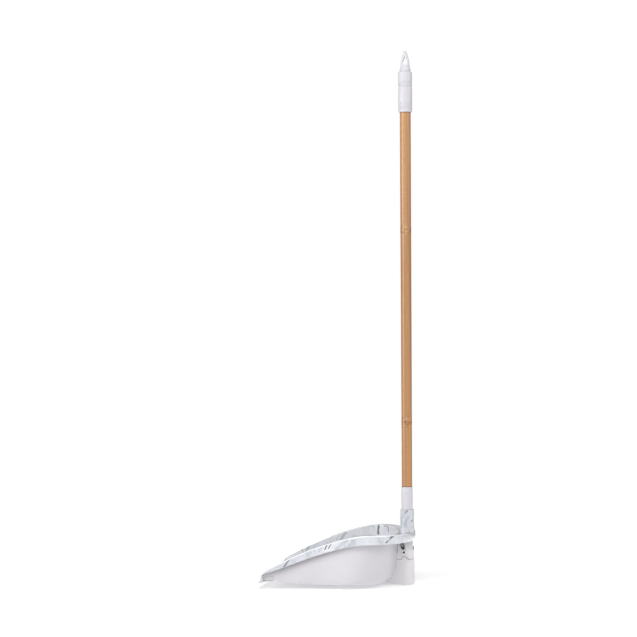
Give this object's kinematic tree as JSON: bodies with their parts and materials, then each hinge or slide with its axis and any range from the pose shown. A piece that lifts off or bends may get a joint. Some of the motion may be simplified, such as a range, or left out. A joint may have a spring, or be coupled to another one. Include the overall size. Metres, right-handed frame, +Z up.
{
  "type": "long-handled dust pan",
  "caption": "Long-handled dust pan: deep white scoop, marble-print rim, soft front lip, spring-hinged bamboo pole with a grip and a swivelling hanging loop.",
  "frame": {"origin": "bottom centre of the bounding box: on the floor, midway between the lip's tip and the back of the rim", "axes": "+X from the mouth to the back, where the pole stands; +Y across the pan, which is symmetric about Y = 0; +Z up along the pole"},
  "size_m": [0.258, 0.247, 0.927],
  "materials": {
    "scoop": "smooth white polypropylene, slightly translucent",
    "marble": "white marble print with dark veins under a clear gloss coat",
    "lip": "soft white thermoplastic rubber",
    "housing": "satin white polypropylene",
    "screw": "zinc-plated steel",
    "steel": "ground steel pin",
    "spring": "oiled spring wire",
    "bush": "dark acetal",
    "pole_fittings": "satin white polypropylene",
    "bamboo": "clear-lacquered natural bamboo"
  },
  "bodies": {
    "pan": {"pan_shell": "scoop", "rim_frame": "marble", "front_lip": "lip", "hinge_bracket": "housing", "rear_foot": "housing", "bracket_screws": "screw", "hinge_pin": "steel", "pin_retainers": "screw", "spring_bushes": "bush", "spring_left": "spring", "spring_right": "spring"},
    "handle": {"socket": "marble", "ferrule": "pole_fittings", "ferrule_nail": "screw", "cane": "bamboo", "grip": "pole_fittings"},
    "loop": {"hanger": "pole_fittings", "hanger_screw": "screw"}
  },
  "joints": [
    {"name": "handle_hinge", "type": "hinge", "parent": "pan", "child": "handle", "pos_m": [0.1136, 0, 0.057], "axis": [0, 1, 0], "range_deg": [0, 45], "stiffness_Nm_per_rad": 0.8, "springref_deg": -28.65, "deforming": ["spring_left", "spring_right"]},
    {"name": "loop_swivel", "type": "hinge", "parent": "handle", "child": "loop", "pos_m": [0.1166, 0, 0.892], "axis": [0, 0, 1], "continuous": true}
  ]
}
